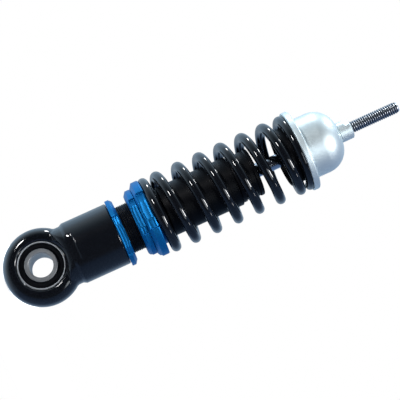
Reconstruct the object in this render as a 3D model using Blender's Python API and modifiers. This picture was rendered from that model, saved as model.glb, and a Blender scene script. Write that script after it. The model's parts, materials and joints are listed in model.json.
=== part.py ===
"""A height-adjustable coil-over strut: bushed eye, threaded damper tube, coil spring and threaded stud.

Metres, +Z up the strut's axis. The origin is the middle of the eye's bore, whose axis runs along Y.
"""

import math

import bmesh
import bpy
from mathutils import Matrix

MM = 0.001
FULL_TURN = 2 * math.pi
GAP = 0.3 * MM

# Driving dimensions: the eye and the body that it is cast with
EYE_RADIUS = 32.6 * MM
EYE_HALF_WIDTH = 13.5 * MM
EYE_BORE_RADIUS = 20.3 * MM
BODY_RADIUS = 26.65 * MM
BODY_WAIST_RADIUS = 25.1 * MM
BODY_BOTTOM_Z = 25.3 * MM
BODY_TOP_Z = 67.3 * MM
BODY_BORE_BOTTOM_Z = 26.5 * MM

# The silentblock in the eye
SLEEVE_HALF_LENGTH = 14.2 * MM
SLEEVE_BORE_RADIUS = 10.0 * MM
SLEEVE_OUTER_RADIUS = 13.6 * MM
SHELL_HALF_LENGTH = 12.9 * MM
SHELL_INNER_RADIUS = 18.7 * MM

# The damper tube and its thread
THREAD_RADIUS = 20.55 * MM
TUBE_RADIUS = 21.45 * MM
TUBE_BORE_RADIUS = 18.0 * MM
TUBE_BOTTOM_Z = 31.5 * MM
THREAD_TOP_Z = 109.8 * MM
TUBE_TOP_Z = 172.3 * MM
RING_BORE_RADIUS = 20.95 * MM

# The end cap and the seal head
CAP_RADIUS = 20.0 * MM
CAP_TOP_Z = 191.7 * MM
CAP_SPIGOT_BOTTOM_Z = 166.0 * MM
HEAD_BOTTOM_Z = 152.0 * MM
HEAD_TOP_Z = 165.7 * MM
SPIGOT_RADIUS = 17.7 * MM

# The threaded rings
JAM_RING_RADIUS = 29.3 * MM
JAM_RING_TOP_Z = 73.3 * MM
LOCK_RING_RADIUS = 29.2 * MM
LOCK_RING_BOTTOM_Z = 83.8 * MM
LOCK_RING_TOP_Z = 90.4 * MM
ADJUSTER_RADIUS = 33.35 * MM
ADJUSTER_TOP_Z = 99.5 * MM
NOTCHES = 3
JAM_RING_NOTCH_ANGLE = -72.4
LOCK_RING_NOTCH_ANGLE = -93.0
ADJUSTER_NOTCH_ANGLE = -95.5

# The spring
WIRE_RADIUS = 4.2 * MM
COIL_RADIUS = 29.85 * MM
END_COIL_PULL_IN = 0.75 * MM
COIL_PITCH = 19.3 * MM
COIL_START_Z = 102.25 * MM
TURN_ZERO_ANGLE = math.radians(190)
FIRST_TURN = -0.2
LAST_TURN = 7.5
SPRING_BOTTOM_Z = 99.8 * MM
SPRING_TOP_Z = 229.7 * MM

# The rod, its piston and the upper spring cup
ROD_RADIUS = 6.0 * MM
STUD_RADIUS = 5.0 * MM
ROD_TAIL_RADIUS = 4.9 * MM
ROD_BOTTOM_Z = 118.6 * MM
ROD_SHOULDER_Z = 143.0 * MM
STUD_BOTTOM_Z = 262.0 * MM
STUD_TOP_Z = 322.7 * MM
PISTON_BOTTOM_Z = 129.0 * MM
PISTON_TOP_Z = 139.0 * MM
PISTON_RADIUS = 17.3 * MM
FLANGE_RADIUS = 34.8 * MM
FLANGE_BOTTOM_Z = 230.0 * MM
FLANGE_TOP_Z = 235.5 * MM
CUP_RADIUS = 26.4 * MM
CUP_SHOULDER_Z = 248.8 * MM
CUP_TOP_Z = 267.7 * MM
CUP_INNER_TOP_Z = 264.6 * MM
COLLAR_RADIUS = 24.0 * MM
COLLAR_INNER_RADIUS = 22.6 * MM
COLLAR_BOTTOM_Z = 215.0 * MM
NECK_RADIUS = 8.6 * MM
NECK_TOP_Z = 279.4 * MM

# The gas side of the damper
PLUG_TOP_Z = 41.5 * MM
FREE_PISTON_BOTTOM_Z = 52.0 * MM
FREE_PISTON_TOP_Z = 62.0 * MM

# The seals: one size of O-ring serves the head, the base plug and the free piston
SEAL_MIDDLE_RADIUS = 16.62 * MM
SEAL_CORD_RADIUS = 1.05 * MM
SEAL_GROOVE_RADIUS = 15.2 * MM
SEAL_GROOVE_WIDTH = 3.2 * MM
ROD_CLEARANCE = 0.4 * MM

EYE_STEPS = 44
OUTER_STEPS = 36
INNER_STEPS = 20
O_RING_SIDES = 6

PARTS = "strut_assembly"
CUTTERS = "strut_assembly_cutters"

# name: (linear colour, roughness, metallic)
FINISHES = {
    "gloss_black": ((0.008, 0.009, 0.011), 0.18, 0.0),
    "black_anodised": ((0.02, 0.021, 0.025), 0.42, 0.6),
    "blue_anodised": ((0.004, 0.095, 0.42), 0.32, 0.85),
    "machined_steel": ((0.55, 0.56, 0.57), 0.38, 1.0),
    "bright_zinc": ((0.68, 0.70, 0.73), 0.3, 1.0),
    "satin_aluminium": ((0.74, 0.76, 0.79), 0.36, 1.0),
    "hard_chrome": ((0.62, 0.64, 0.67), 0.08, 1.0),
    "brass": ((0.62, 0.42, 0.14), 0.35, 1.0),
    "bronze": ((0.42, 0.26, 0.13), 0.4, 1.0),
    "black_rubber": ((0.012, 0.012, 0.013), 0.7, 0.0),
    "cream_foam": ((0.62, 0.55, 0.36), 0.85, 0.0),
    "ptfe": ((0.1, 0.09, 0.08), 0.5, 0.0),
}


def clear_scene():
    for obj in list(bpy.data.objects):
        bpy.data.objects.remove(obj, do_unlink=True)
    for name in (PARTS, CUTTERS):
        bpy.context.scene.collection.children.link(bpy.data.collections.new(name))


def material(name):
    made = bpy.data.materials.get(name)
    if made:
        return made
    colour, roughness, metallic = FINISHES[name]
    made = bpy.data.materials.new(name)
    made.use_nodes = True
    shader = made.node_tree.nodes["Principled BSDF"]
    shader.inputs["Base Color"].default_value = (*colour, 1.0)
    shader.inputs["Roughness"].default_value = roughness
    shader.inputs["Metallic"].default_value = metallic
    made.diffuse_color = (*colour, 1.0)
    return made


def new_part(name, data, finish):
    """A sub-part in the object's own collection."""
    obj = bpy.data.objects.new(name, data)
    bpy.data.collections[PARTS].objects.link(obj)
    data.materials.append(material(finish))
    if isinstance(data, bpy.types.Mesh):
        data.shade_smooth()
    return obj


def as_cutter(obj):
    """Moves an object to the cutters' collection, out of the model."""
    for owner in list(obj.users_collection):
        owner.objects.unlink(obj)
    bpy.data.collections[CUTTERS].objects.link(obj)
    obj.hide_render = True
    obj.display_type = "WIRE"
    return obj


def screw(obj, steps):
    """Turns the profile about the object's own Z."""
    turn = obj.modifiers.new("turn", "SCREW")
    turn.angle = FULL_TURN
    turn.steps = steps
    turn.render_steps = steps
    turn.use_merge_vertices = True
    turn.merge_threshold = 0.00001
    turn.use_smooth_shade = True
    return obj


def profile_mesh(name, profile, loop):
    """A chain of edges in the XZ plane, from (radius, z) pairs."""
    mesh = bpy.data.meshes.new(name)
    points = [(radius, 0.0, z) for radius, z in profile]
    edges = [(i, i + 1) for i in range(len(points) - 1)]
    if loop:
        edges.append((len(points) - 1, 0))
    mesh.from_pydata(points, edges, [])
    return mesh


def turned(name, profile, finish, steps=OUTER_STEPS):
    """A turned piece. The profile runs down the outer side, then up the bore if it has one."""
    has_bore = min(radius for radius, _ in profile) > 0
    obj = new_part(name, profile_mesh(name, profile, has_bore), finish)
    return screw(obj, steps)


def ring(name, inner, outer, bottom, top, finish, steps=INNER_STEPS):
    """A plain turned ring or sleeve."""
    profile = [(outer, top), (outer, bottom), (inner, bottom), (inner, top)]
    return turned(name, profile, finish, steps)


def o_ring(name, z):
    """A toroidal seal."""
    points = []
    for i in range(O_RING_SIDES):
        angle = -FULL_TURN * i / O_RING_SIDES
        radius = SEAL_MIDDLE_RADIUS + SEAL_CORD_RADIUS * math.cos(angle)
        points.append((radius, z + SEAL_CORD_RADIUS * math.sin(angle)))
    mesh = profile_mesh(name, points, True)
    return screw(new_part(name, mesh, "black_rubber"), INNER_STEPS)


def boolean(obj, operation, other):
    step = obj.modifiers.new(other.name, "BOOLEAN")
    step.operation = operation
    step.solver = "EXACT"
    step.object = other
    return step


def lay_along_y(obj):
    """Turns a piece made about Z so that its axis lies along Y."""
    obj.rotation_euler = (math.radians(90), 0, 0)
    return obj


def prism(name, outline, half_depth):
    """A straight-sided solid through a flat outline, as a mesh so that it can cut."""
    curve = bpy.data.curves.new(name, "CURVE")
    curve.dimensions = "2D"
    curve.fill_mode = "BOTH"
    curve.extrude = half_depth
    spline = curve.splines.new("POLY")
    spline.points.add(len(outline) - 1)
    for point, (x, y) in zip(spline.points, outline):
        point.co = (x, y, 0, 1)
    spline.use_cyclic_u = True
    return mesh_object(name, curve)


def mesh_object(name, curve):
    """The solid mesh of a curve, with its caps welded on."""
    guide = bpy.data.objects.new(name + "_guide", curve)
    bpy.context.scene.collection.objects.link(guide)
    graph = bpy.context.evaluated_depsgraph_get()
    mesh = bpy.data.meshes.new_from_object(guide.evaluated_get(graph))
    bpy.data.objects.remove(guide, do_unlink=True)
    shape = bmesh.new()
    shape.from_mesh(mesh)
    bmesh.ops.remove_doubles(shape, verts=shape.verts, dist=0.000001)
    bmesh.ops.recalc_face_normals(shape, faces=shape.faces)
    shape.to_mesh(mesh)
    shape.free()
    mesh.name = name
    obj = bpy.data.objects.new(name, mesh)
    bpy.data.collections[PARTS].objects.link(obj)
    return obj


def arc(centre, radii, start, end, count):
    """Points on an ellipse's arc, the angles in degrees."""
    points = []
    for i in range(count + 1):
        angle = math.radians(start + (end - start) * i / count)
        points.append((centre[0] + radii[0] * math.cos(angle), centre[1] + radii[1] * math.sin(angle)))
    return points


# The eye and its silentblock


def eye_ring_blank():
    """The crowned ring of the eye, still solid, lying along Y."""
    crown_edge = 24.0 * MM
    crown = arc((crown_edge, 0), (EYE_RADIUS - crown_edge, EYE_HALF_WIDTH), 90, -90, 8)
    profile = [(0, EYE_HALF_WIDTH), *crown, (0, -EYE_HALF_WIDTH)]
    obj = turned("eye_ring_blank", profile, "gloss_black", EYE_STEPS)
    return as_cutter(lay_along_y(obj))


def eye_flanks():
    """The side outline, seen along X, that narrows the body down to the eye."""
    flat = 24.1 * MM
    flat_top_z = 32.2 * MM
    neck = 12.6 * MM
    neck_z = 17.0 * MM
    outside = 40.0 * MM
    top_z = 80.0 * MM
    low_z = 6.0 * MM
    blend = arc((neck, flat_top_z), (flat - neck, flat_top_z - neck_z), -78, -8, 4)
    half = [(neck, low_z), (neck, neck_z), *blend, (flat, flat_top_z)]
    half += [(outside, flat_top_z), (outside, top_z)]
    outline = half + [(-y, z) for y, z in reversed(half)]
    obj = prism("eye_flanks", outline, 40.0 * MM)
    # The outline's x is the part's Y, its y is the part's Z, and its depth is the part's X.
    obj.matrix_world = Matrix(((0, 0, 1, 0), (1, 0, 0, 0), (0, 1, 0, 0), (0, 0, 0, 1)))
    return as_cutter(obj)


def bush_bore_cutter():
    """The eye's bore, opened a little at both faces."""
    lead_radius = 22.6 * MM
    lead_start = 11.9 * MM
    past = 20.0 * MM
    profile = [
        (0, past),
        (lead_radius, past),
        (lead_radius, EYE_HALF_WIDTH),
        (EYE_BORE_RADIUS, lead_start),
        (EYE_BORE_RADIUS, -lead_start),
        (lead_radius, -EYE_HALF_WIDTH),
        (lead_radius, -past),
        (0, -past),
    ]
    return as_cutter(lay_along_y(turned("bush_bore_cutter", profile, "gloss_black", OUTER_STEPS)))


def tube_bore_cutter():
    """The threaded bore that the damper tube screws into."""
    past = 5.0 * MM
    profile = [
        (0, BODY_TOP_Z + past),
        (RING_BORE_RADIUS, BODY_TOP_Z + past),
        (RING_BORE_RADIUS, BODY_BORE_BOTTOM_Z),
        (0, BODY_BORE_BOTTOM_Z),
    ]
    return as_cutter(turned("tube_bore_cutter", profile, "gloss_black"))


def lower_eye_body():
    edge = 1.2 * MM
    chamfer_top_z = 28.1 * MM
    low_z = 10.0 * MM
    profile = [
        (0, BODY_TOP_Z),
        (BODY_RADIUS - edge, BODY_TOP_Z),
        (BODY_RADIUS, BODY_TOP_Z - edge),
        (BODY_RADIUS, chamfer_top_z),
        (BODY_WAIST_RADIUS, BODY_BOTTOM_Z),
        (BODY_WAIST_RADIUS, low_z),
        (0, low_z),
    ]
    obj = turned("lower_eye_body", profile, "gloss_black", EYE_STEPS)
    boolean(obj, "INTERSECT", eye_flanks())
    boolean(obj, "UNION", eye_ring_blank())
    boolean(obj, "DIFFERENCE", bush_bore_cutter())
    boolean(obj, "DIFFERENCE", tube_bore_cutter())
    return obj


def bush_outer_sleeve():
    edge = 0.4 * MM
    outer = EYE_BORE_RADIUS - GAP
    profile = [
        (outer - edge, SHELL_HALF_LENGTH),
        (outer, SHELL_HALF_LENGTH - edge),
        (outer, edge - SHELL_HALF_LENGTH),
        (outer - edge, -SHELL_HALF_LENGTH),
        (SHELL_INNER_RADIUS, -SHELL_HALF_LENGTH),
        (SHELL_INNER_RADIUS, SHELL_HALF_LENGTH),
    ]
    return lay_along_y(turned("bush_outer_sleeve", profile, "bright_zinc"))


def bush_rubber():
    """Moulded rubber between the sleeves, hollowed a little at its faces."""
    outer = SHELL_INNER_RADIUS - GAP
    inner = SLEEVE_OUTER_RADIUS + GAP
    middle = (outer + inner) / 2
    edge_half = 12.2 * MM
    middle_half = 10.8 * MM
    profile = [
        (outer, edge_half),
        (outer, -edge_half),
        (middle, -middle_half),
        (inner, -edge_half),
        (inner, edge_half),
        (middle, middle_half),
    ]
    return lay_along_y(turned("bush_rubber", profile, "black_rubber", OUTER_STEPS))


def bush_inner_sleeve():
    edge = 0.6 * MM
    profile = [
        (SLEEVE_OUTER_RADIUS - edge, SLEEVE_HALF_LENGTH),
        (SLEEVE_OUTER_RADIUS, SLEEVE_HALF_LENGTH - edge),
        (SLEEVE_OUTER_RADIUS, edge - SLEEVE_HALF_LENGTH),
        (SLEEVE_OUTER_RADIUS - edge, -SLEEVE_HALF_LENGTH),
        (SLEEVE_BORE_RADIUS, -SLEEVE_HALF_LENGTH),
        (SLEEVE_BORE_RADIUS, SLEEVE_HALF_LENGTH),
    ]
    return lay_along_y(turned("bush_inner_sleeve", profile, "machined_steel", OUTER_STEPS))


# The threaded rings


def notched_outline(radius, depth, flat_depth, notch_half_angle, middle_angle):
    """A ring's outer outline: NOTCHES wide notches, each with a flat across the middle of its floor."""
    floor = radius - depth
    flat = floor - flat_depth
    flat_half = math.degrees(math.acos(flat / floor))
    points = []
    for i in range(NOTCHES):
        middle = middle_angle + 360 * i / NOTCHES
        next_start = middle + 360 / NOTCHES - notch_half_angle
        points += arc((0, 0), (floor, floor), middle - notch_half_angle, middle - flat_half, 2)
        points += arc((0, 0), (floor, floor), middle + flat_half, middle + notch_half_angle, 2)
        points += arc((0, 0), (radius, radius), middle + notch_half_angle, next_start, 6)
    return points


def notched_ring(name, profile, outline):
    """A turned, bored ring whose outside follows a notched outline."""
    bottom = min(z for _, z in profile)
    top = max(z for _, z in profile)
    cutter = as_cutter(prism(name + "_outline", outline, top - bottom))
    cutter.location.z = (top + bottom) / 2
    obj = turned(name, profile, "blue_anodised", EYE_STEPS)
    boolean(obj, "INTERSECT", cutter)
    return obj


def jam_ring():
    """Locks the tube's depth in the body. Its chamfer faces the spring."""
    bottom = BODY_TOP_Z + GAP
    blank = JAM_RING_RADIUS + 1.0 * MM
    chamfer_start_z = JAM_RING_TOP_Z - 2.4 * MM
    chamfer_radius = 25.8 * MM
    profile = [
        (chamfer_radius, JAM_RING_TOP_Z),
        (JAM_RING_RADIUS, chamfer_start_z),
        (blank, chamfer_start_z - 0.7 * MM),
        (blank, bottom),
        (RING_BORE_RADIUS, bottom),
        (RING_BORE_RADIUS, JAM_RING_TOP_Z),
    ]
    outline = notched_outline(JAM_RING_RADIUS, 2.0 * MM, 1.8 * MM, 37.0, JAM_RING_NOTCH_ANGLE)
    return notched_ring("jam_ring", profile, outline)


def lock_ring():
    """Locks the adjuster. Its chamfer faces the eye."""
    blank = LOCK_RING_RADIUS + 1.0 * MM
    chamfer_end_z = LOCK_RING_BOTTOM_Z + 2.6 * MM
    chamfer_radius = 25.6 * MM
    profile = [
        (blank, LOCK_RING_TOP_Z),
        (blank, chamfer_end_z + 0.7 * MM),
        (LOCK_RING_RADIUS, chamfer_end_z),
        (chamfer_radius, LOCK_RING_BOTTOM_Z),
        (RING_BORE_RADIUS, LOCK_RING_BOTTOM_Z),
        (RING_BORE_RADIUS, LOCK_RING_TOP_Z),
    ]
    outline = notched_outline(LOCK_RING_RADIUS, 2.0 * MM, 1.8 * MM, 34.0, LOCK_RING_NOTCH_ANGLE)
    return notched_ring("lock_ring", profile, outline)


def adjuster_ring():
    """Carries the spring's lower end and centres it on a low spigot."""
    bottom = LOCK_RING_TOP_Z + GAP
    blank = ADJUSTER_RADIUS + 1.0 * MM
    chamfer_end_z = bottom + 2.8 * MM
    chamfer_radius = 29.0 * MM
    top_edge = 1.4 * MM
    spigot_radius = 24.0 * MM
    spigot_top_z = ADJUSTER_TOP_Z + 2.6 * MM
    profile = [
        (spigot_radius, spigot_top_z),
        (spigot_radius, ADJUSTER_TOP_Z),
        (ADJUSTER_RADIUS - top_edge, ADJUSTER_TOP_Z),
        (blank, ADJUSTER_TOP_Z - 2.0 * top_edge),
        (blank, chamfer_end_z + 0.6 * MM),
        (ADJUSTER_RADIUS, chamfer_end_z),
        (chamfer_radius, bottom),
        (RING_BORE_RADIUS, bottom),
        (RING_BORE_RADIUS, spigot_top_z),
    ]
    outline = notched_outline(ADJUSTER_RADIUS, 2.3 * MM, 1.0 * MM, 30.0, ADJUSTER_NOTCH_ANGLE)
    return notched_ring("adjuster_ring", profile, outline)


# The spring


def centreline_height(turn):
    """The wire's height: the pitch opens over the first turn and closes towards the last one."""
    opens_at, opened_at = -0.25, 0.95
    closes_from, closed_at = 5.42, 7.4
    if turn < opened_at:
        return COIL_START_Z + COIL_PITCH * (turn - opens_at) ** 2 / (2 * (opened_at - opens_at))
    height = COIL_START_Z + COIL_PITCH * (turn - (opened_at + opens_at) / 2)
    if turn > closes_from:
        closing = closed_at - closes_from
        reached = min(turn, closed_at)
        height -= COIL_PITCH * (closing / 4 * ((reached - closes_from) / closing) ** 4 + turn - reached)
    return height


def spring_points(steps_per_turn):
    points = []
    count = round((LAST_TURN - FIRST_TURN) * steps_per_turn)
    for i in range(count + 1):
        turn = FIRST_TURN + (LAST_TURN - FIRST_TURN) * i / count
        step = 0.05
        slope = (centreline_height(turn + step) - centreline_height(turn - step)) / (2 * step)
        radius = COIL_RADIUS - END_COIL_PULL_IN * (1 - slope / COIL_PITCH)
        angle = TURN_ZERO_ANGLE + FULL_TURN * turn
        points.append((radius * math.cos(angle), radius * math.sin(angle), centreline_height(turn)))
    return points


def grinding_block(name, bottom, top):
    """A slab that grinds an end coil flat."""
    reach = 50.0 * MM
    profile = [(0, top), (reach, top), (reach, bottom), (0, bottom)]
    return as_cutter(turned(name, profile, "gloss_black", 8))


def spring():
    curve = bpy.data.curves.new("spring", "CURVE")
    curve.dimensions = "3D"
    curve.bevel_depth = WIRE_RADIUS
    curve.bevel_resolution = 2
    curve.use_fill_caps = True
    points = spring_points(20)
    spline = curve.splines.new("POLY")
    spline.points.add(len(points) - 1)
    for point, place in zip(spline.points, points):
        point.co = (*place, 1)
    obj = mesh_object("spring", curve)
    obj.data.materials.clear()
    obj.data.materials.append(material("gloss_black"))
    obj.data.shade_smooth()
    slab = 20.0 * MM
    boolean(obj, "DIFFERENCE", grinding_block("lower_grind", SPRING_BOTTOM_Z - slab, SPRING_BOTTOM_Z))
    boolean(obj, "DIFFERENCE", grinding_block("upper_grind", SPRING_TOP_Z, SPRING_TOP_Z + slab))
    return obj


# The damper


def damper_tube():
    edge = 0.8 * MM
    profile = [
        (TUBE_RADIUS - edge, TUBE_TOP_Z),
        (TUBE_RADIUS, TUBE_TOP_Z - edge),
        (TUBE_RADIUS, THREAD_TOP_Z + edge),
        (THREAD_RADIUS, THREAD_TOP_Z),
        (THREAD_RADIUS, TUBE_BOTTOM_Z),
        (TUBE_BORE_RADIUS, TUBE_BOTTOM_Z),
        (TUBE_BORE_RADIUS, TUBE_TOP_Z),
    ]
    return turned("damper_tube", profile, "black_anodised")


def end_cap():
    """Screws into the tube's mouth and holds the wiper. Its lip is rounded."""
    bottom = TUBE_TOP_Z + GAP
    groove_bottom = 176.0 * MM
    groove_top = 177.6 * MM
    groove_radius = 19.0 * MM
    lip_radius = 20.6 * MM
    lip_bottom = 188.6 * MM
    round_edge = 1.4 * MM
    bore = 7.0 * MM
    pocket_radius = 9.6 * MM
    pocket_bottom = 183.5 * MM
    profile = [
        (lip_radius - round_edge, CAP_TOP_Z),
        (lip_radius, CAP_TOP_Z - round_edge),
        (lip_radius, lip_bottom),
        (CAP_RADIUS, lip_bottom - 0.8 * MM),
        (CAP_RADIUS, groove_top),
        (groove_radius, groove_top),
        (groove_radius, groove_bottom),
        (CAP_RADIUS, groove_bottom),
        (CAP_RADIUS, bottom),
        (SPIGOT_RADIUS, bottom),
        (SPIGOT_RADIUS, CAP_SPIGOT_BOTTOM_Z),
        (bore, CAP_SPIGOT_BOTTOM_Z),
        (bore, pocket_bottom),
        (pocket_radius, pocket_bottom),
        (pocket_radius, CAP_TOP_Z),
    ]
    return turned("end_cap", profile, "black_anodised")


def seal_head():
    groove_bottom = 155.7 * MM
    groove_top = groove_bottom + SEAL_GROOVE_WIDTH
    guide_bore = 7.9 * MM
    pocket_radius = 11.0 * MM
    pocket_bottom = 160.3 * MM
    profile = [
        (SPIGOT_RADIUS, HEAD_TOP_Z),
        (SPIGOT_RADIUS, groove_top),
        (SEAL_GROOVE_RADIUS, groove_top),
        (SEAL_GROOVE_RADIUS, groove_bottom),
        (SPIGOT_RADIUS, groove_bottom),
        (SPIGOT_RADIUS, HEAD_BOTTOM_Z),
        (guide_bore, HEAD_BOTTOM_Z),
        (guide_bore, pocket_bottom),
        (pocket_radius, pocket_bottom),
        (pocket_radius, HEAD_TOP_Z),
    ]
    turned("seal_head", profile, "satin_aluminium", INNER_STEPS)
    o_ring("seal_head_o_ring", (groove_bottom + groove_top) / 2)


def rod_guide_bush():
    outer = 7.55 * MM
    top = 159.8 * MM
    ring("rod_guide_bush", ROD_RADIUS + ROD_CLEARANCE, outer, HEAD_BOTTOM_Z + 0.2 * MM, top, "bronze")


def rod_seal():
    outer = 10.65 * MM
    bottom = 160.7 * MM
    ring("rod_seal", ROD_RADIUS + ROD_CLEARANCE, outer, bottom, HEAD_TOP_Z - 0.4 * MM, "black_rubber")


def rod_wiper():
    """Sits in the end cap's pocket. Its lip stands a little above the cap."""
    inner = ROD_RADIUS + ROD_CLEARANCE
    outer = 9.25 * MM
    lip_width = 0.8 * MM
    bottom = 183.9 * MM
    top = CAP_TOP_Z + 0.5 * MM
    profile = [
        (inner + lip_width, top),
        (outer, CAP_TOP_Z - 1.2 * MM),
        (outer, bottom),
        (inner, bottom),
        (inner, top),
    ]
    turned("rod_wiper", profile, "black_rubber", INNER_STEPS)


def base_plug():
    """Closes the tube's lower end, with a bore for the gas valve."""
    bottom = TUBE_BOTTOM_Z + GAP
    groove_bottom = 35.4 * MM
    groove_top = groove_bottom + SEAL_GROOVE_WIDTH
    valve_bore = 3.6 * MM
    profile = [
        (SPIGOT_RADIUS, PLUG_TOP_Z),
        (SPIGOT_RADIUS, groove_top),
        (SEAL_GROOVE_RADIUS, groove_top),
        (SEAL_GROOVE_RADIUS, groove_bottom),
        (SPIGOT_RADIUS, groove_bottom),
        (SPIGOT_RADIUS, bottom),
        (valve_bore, bottom),
        (valve_bore, PLUG_TOP_Z),
    ]
    turned("base_plug", profile, "satin_aluminium", INNER_STEPS)
    o_ring("base_plug_o_ring", (groove_bottom + groove_top) / 2)


def gas_valve():
    radius = 3.3 * MM
    bottom = 33.0 * MM
    top = PLUG_TOP_Z - 1.0 * MM
    turned("gas_valve", [(0, top), (radius, top), (radius, bottom), (0, bottom)], "brass", INNER_STEPS)


def floating_piston():
    """Parts the gas from the oil. Its crown is dished to save weight."""
    radius = 17.5 * MM
    groove_bottom = 55.4 * MM
    groove_top = groove_bottom + SEAL_GROOVE_WIDTH
    dish_radius = 11.0 * MM
    dish_z = 56.0 * MM
    profile = [
        (0, FREE_PISTON_TOP_Z),
        (radius, FREE_PISTON_TOP_Z),
        (radius, groove_top),
        (SEAL_GROOVE_RADIUS, groove_top),
        (SEAL_GROOVE_RADIUS, groove_bottom),
        (radius, groove_bottom),
        (radius, FREE_PISTON_BOTTOM_Z),
        (dish_radius, FREE_PISTON_BOTTOM_Z),
        (dish_radius, dish_z),
        (0, dish_z),
    ]
    turned("floating_piston", profile, "satin_aluminium", INNER_STEPS)
    o_ring("floating_piston_o_ring", (groove_bottom + groove_top) / 2)


# The rod and what it carries


def piston_rod():
    """The chromed rod with its piston tail below and the threaded stud above."""
    tip = 1.2 * MM
    lead = 0.8 * MM
    profile = [
        (0, STUD_TOP_Z),
        (STUD_RADIUS - tip, STUD_TOP_Z),
        (STUD_RADIUS, STUD_TOP_Z - tip),
        (STUD_RADIUS, STUD_BOTTOM_Z),
        (ROD_RADIUS - lead, STUD_BOTTOM_Z),
        (ROD_RADIUS, STUD_BOTTOM_Z - lead),
        (ROD_RADIUS, ROD_SHOULDER_Z),
        (ROD_TAIL_RADIUS, ROD_SHOULDER_Z),
        (ROD_TAIL_RADIUS, ROD_BOTTOM_Z),
        (0, ROD_BOTTOM_Z),
    ]
    return turned("piston_rod", profile, "hard_chrome", INNER_STEPS)


def port_cutter(index, count):
    """One of the oil ports through the piston."""
    radius = 1.9 * MM
    circle = 10.0 * MM
    past = 4.0 * MM
    profile = [
        (0, PISTON_TOP_Z + past),
        (radius, PISTON_TOP_Z + past),
        (radius, PISTON_BOTTOM_Z - past),
        (0, PISTON_BOTTOM_Z - past),
    ]
    obj = as_cutter(turned(f"port_cutter_{index}", profile, "bronze", 8))
    angle = FULL_TURN * (index + 0.5) / count
    obj.location = (circle * math.cos(angle), circle * math.sin(angle), 0)
    return obj


def damper_piston():
    bore = ROD_TAIL_RADIUS + GAP
    groove_bottom = 131.4 * MM
    groove_top = 136.6 * MM
    groove_radius = 16.0 * MM
    ports = 4
    profile = [
        (PISTON_RADIUS, PISTON_TOP_Z),
        (PISTON_RADIUS, groove_top),
        (groove_radius, groove_top),
        (groove_radius, groove_bottom),
        (PISTON_RADIUS, groove_bottom),
        (PISTON_RADIUS, PISTON_BOTTOM_Z),
        (bore, PISTON_BOTTOM_Z),
        (bore, PISTON_TOP_Z),
    ]
    obj = turned("damper_piston", profile, "bronze", INNER_STEPS)
    for i in range(ports):
        boolean(obj, "DIFFERENCE", port_cutter(i, ports))
    band_radius = 17.55 * MM
    ring("piston_band", groove_radius + GAP, band_radius, groove_bottom + GAP, groove_top - GAP, "ptfe")


def piston_nut(bore):
    """A hexagon nut on the rod's tail."""
    bottom = 119.4 * MM
    top = 126.6 * MM
    corner_radius = 9.8 * MM
    corners = arc((0, 0), (corner_radius, corner_radius), 0, 300, 5)
    hexagon = as_cutter(prism("piston_nut_outline", corners, top - bottom))
    hexagon.location.z = (top + bottom) / 2
    nut = ring("piston_nut", bore, corner_radius, bottom, top, "bright_zinc")
    boolean(nut, "INTERSECT", hexagon)


def valve_stack():
    """Shims above and below the piston, and the nut that clamps them."""
    bore = ROD_TAIL_RADIUS + GAP
    shim_radius = 13.5 * MM
    rebound_top = ROD_SHOULDER_Z - GAP
    compression_bottom = 126.9 * MM
    ring("rebound_shims", bore, shim_radius, PISTON_TOP_Z + GAP, rebound_top, "machined_steel")
    ring("compression_shims", bore, shim_radius, compression_bottom, PISTON_BOTTOM_Z - GAP, "machined_steel")
    piston_nut(bore)


def top_out_bumper():
    """Cushions the piston against the seal head when the strut is at its longest."""
    radius = 11.0 * MM
    bottom = ROD_SHOULDER_Z + 0.6 * MM
    top = HEAD_BOTTOM_Z - 0.6 * MM
    ring("top_out_bumper", ROD_RADIUS + ROD_CLEARANCE, radius, bottom, top, "black_rubber")


def upper_spring_cup():
    """The flange that holds the spring's upper end, its centring collar and the dome over the bump stop."""
    bore = STUD_RADIUS + GAP
    round_edge = 1.6 * MM
    inner_shoulder_z = 247.0 * MM
    inner_flat = 12.5 * MM
    dome_flat = 8.0 * MM
    lip = 0.5 * MM
    outer_dome = arc(
        (dome_flat, CUP_SHOULDER_Z),
        (CUP_RADIUS - dome_flat, CUP_TOP_Z - CUP_SHOULDER_Z),
        90,
        0,
        6,
    )
    inner_dome = arc(
        (inner_flat, inner_shoulder_z),
        (COLLAR_INNER_RADIUS - inner_flat, CUP_INNER_TOP_Z - inner_shoulder_z),
        0,
        90,
        4,
    )
    profile = [
        *outer_dome,
        (CUP_RADIUS, FLANGE_TOP_Z),
        (FLANGE_RADIUS - round_edge, FLANGE_TOP_Z),
        (FLANGE_RADIUS, FLANGE_TOP_Z - round_edge),
        (FLANGE_RADIUS, FLANGE_BOTTOM_Z),
        (COLLAR_RADIUS, FLANGE_BOTTOM_Z),
        (COLLAR_RADIUS, COLLAR_BOTTOM_Z + lip),
        (COLLAR_RADIUS - lip, COLLAR_BOTTOM_Z),
        (COLLAR_INNER_RADIUS, COLLAR_BOTTOM_Z),
        *inner_dome,
        (bore, CUP_INNER_TOP_Z),
        (bore, CUP_TOP_Z),
    ]
    return turned("upper_spring_cup", profile, "satin_aluminium", OUTER_STEPS)


def spanner_flat_cutter(side):
    """A block that mills one spanner flat on the neck."""
    flat = 7.0 * MM
    size = 12.0 * MM
    bottom = 273.7 * MM
    top = NECK_TOP_Z + 10.6 * MM
    turn = math.radians(-50)
    outline = [(-size, flat), (size, flat), (size, flat + size), (-size, flat + size)]
    if side < 0:
        outline = [(-x, -y) for x, y in outline]
    obj = as_cutter(prism("spanner_flat_cutter" + ("_a" if side > 0 else "_b"), outline, (top - bottom) / 2))
    obj.location.z = (top + bottom) / 2
    obj.rotation_euler.z = turn
    return obj


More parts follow.
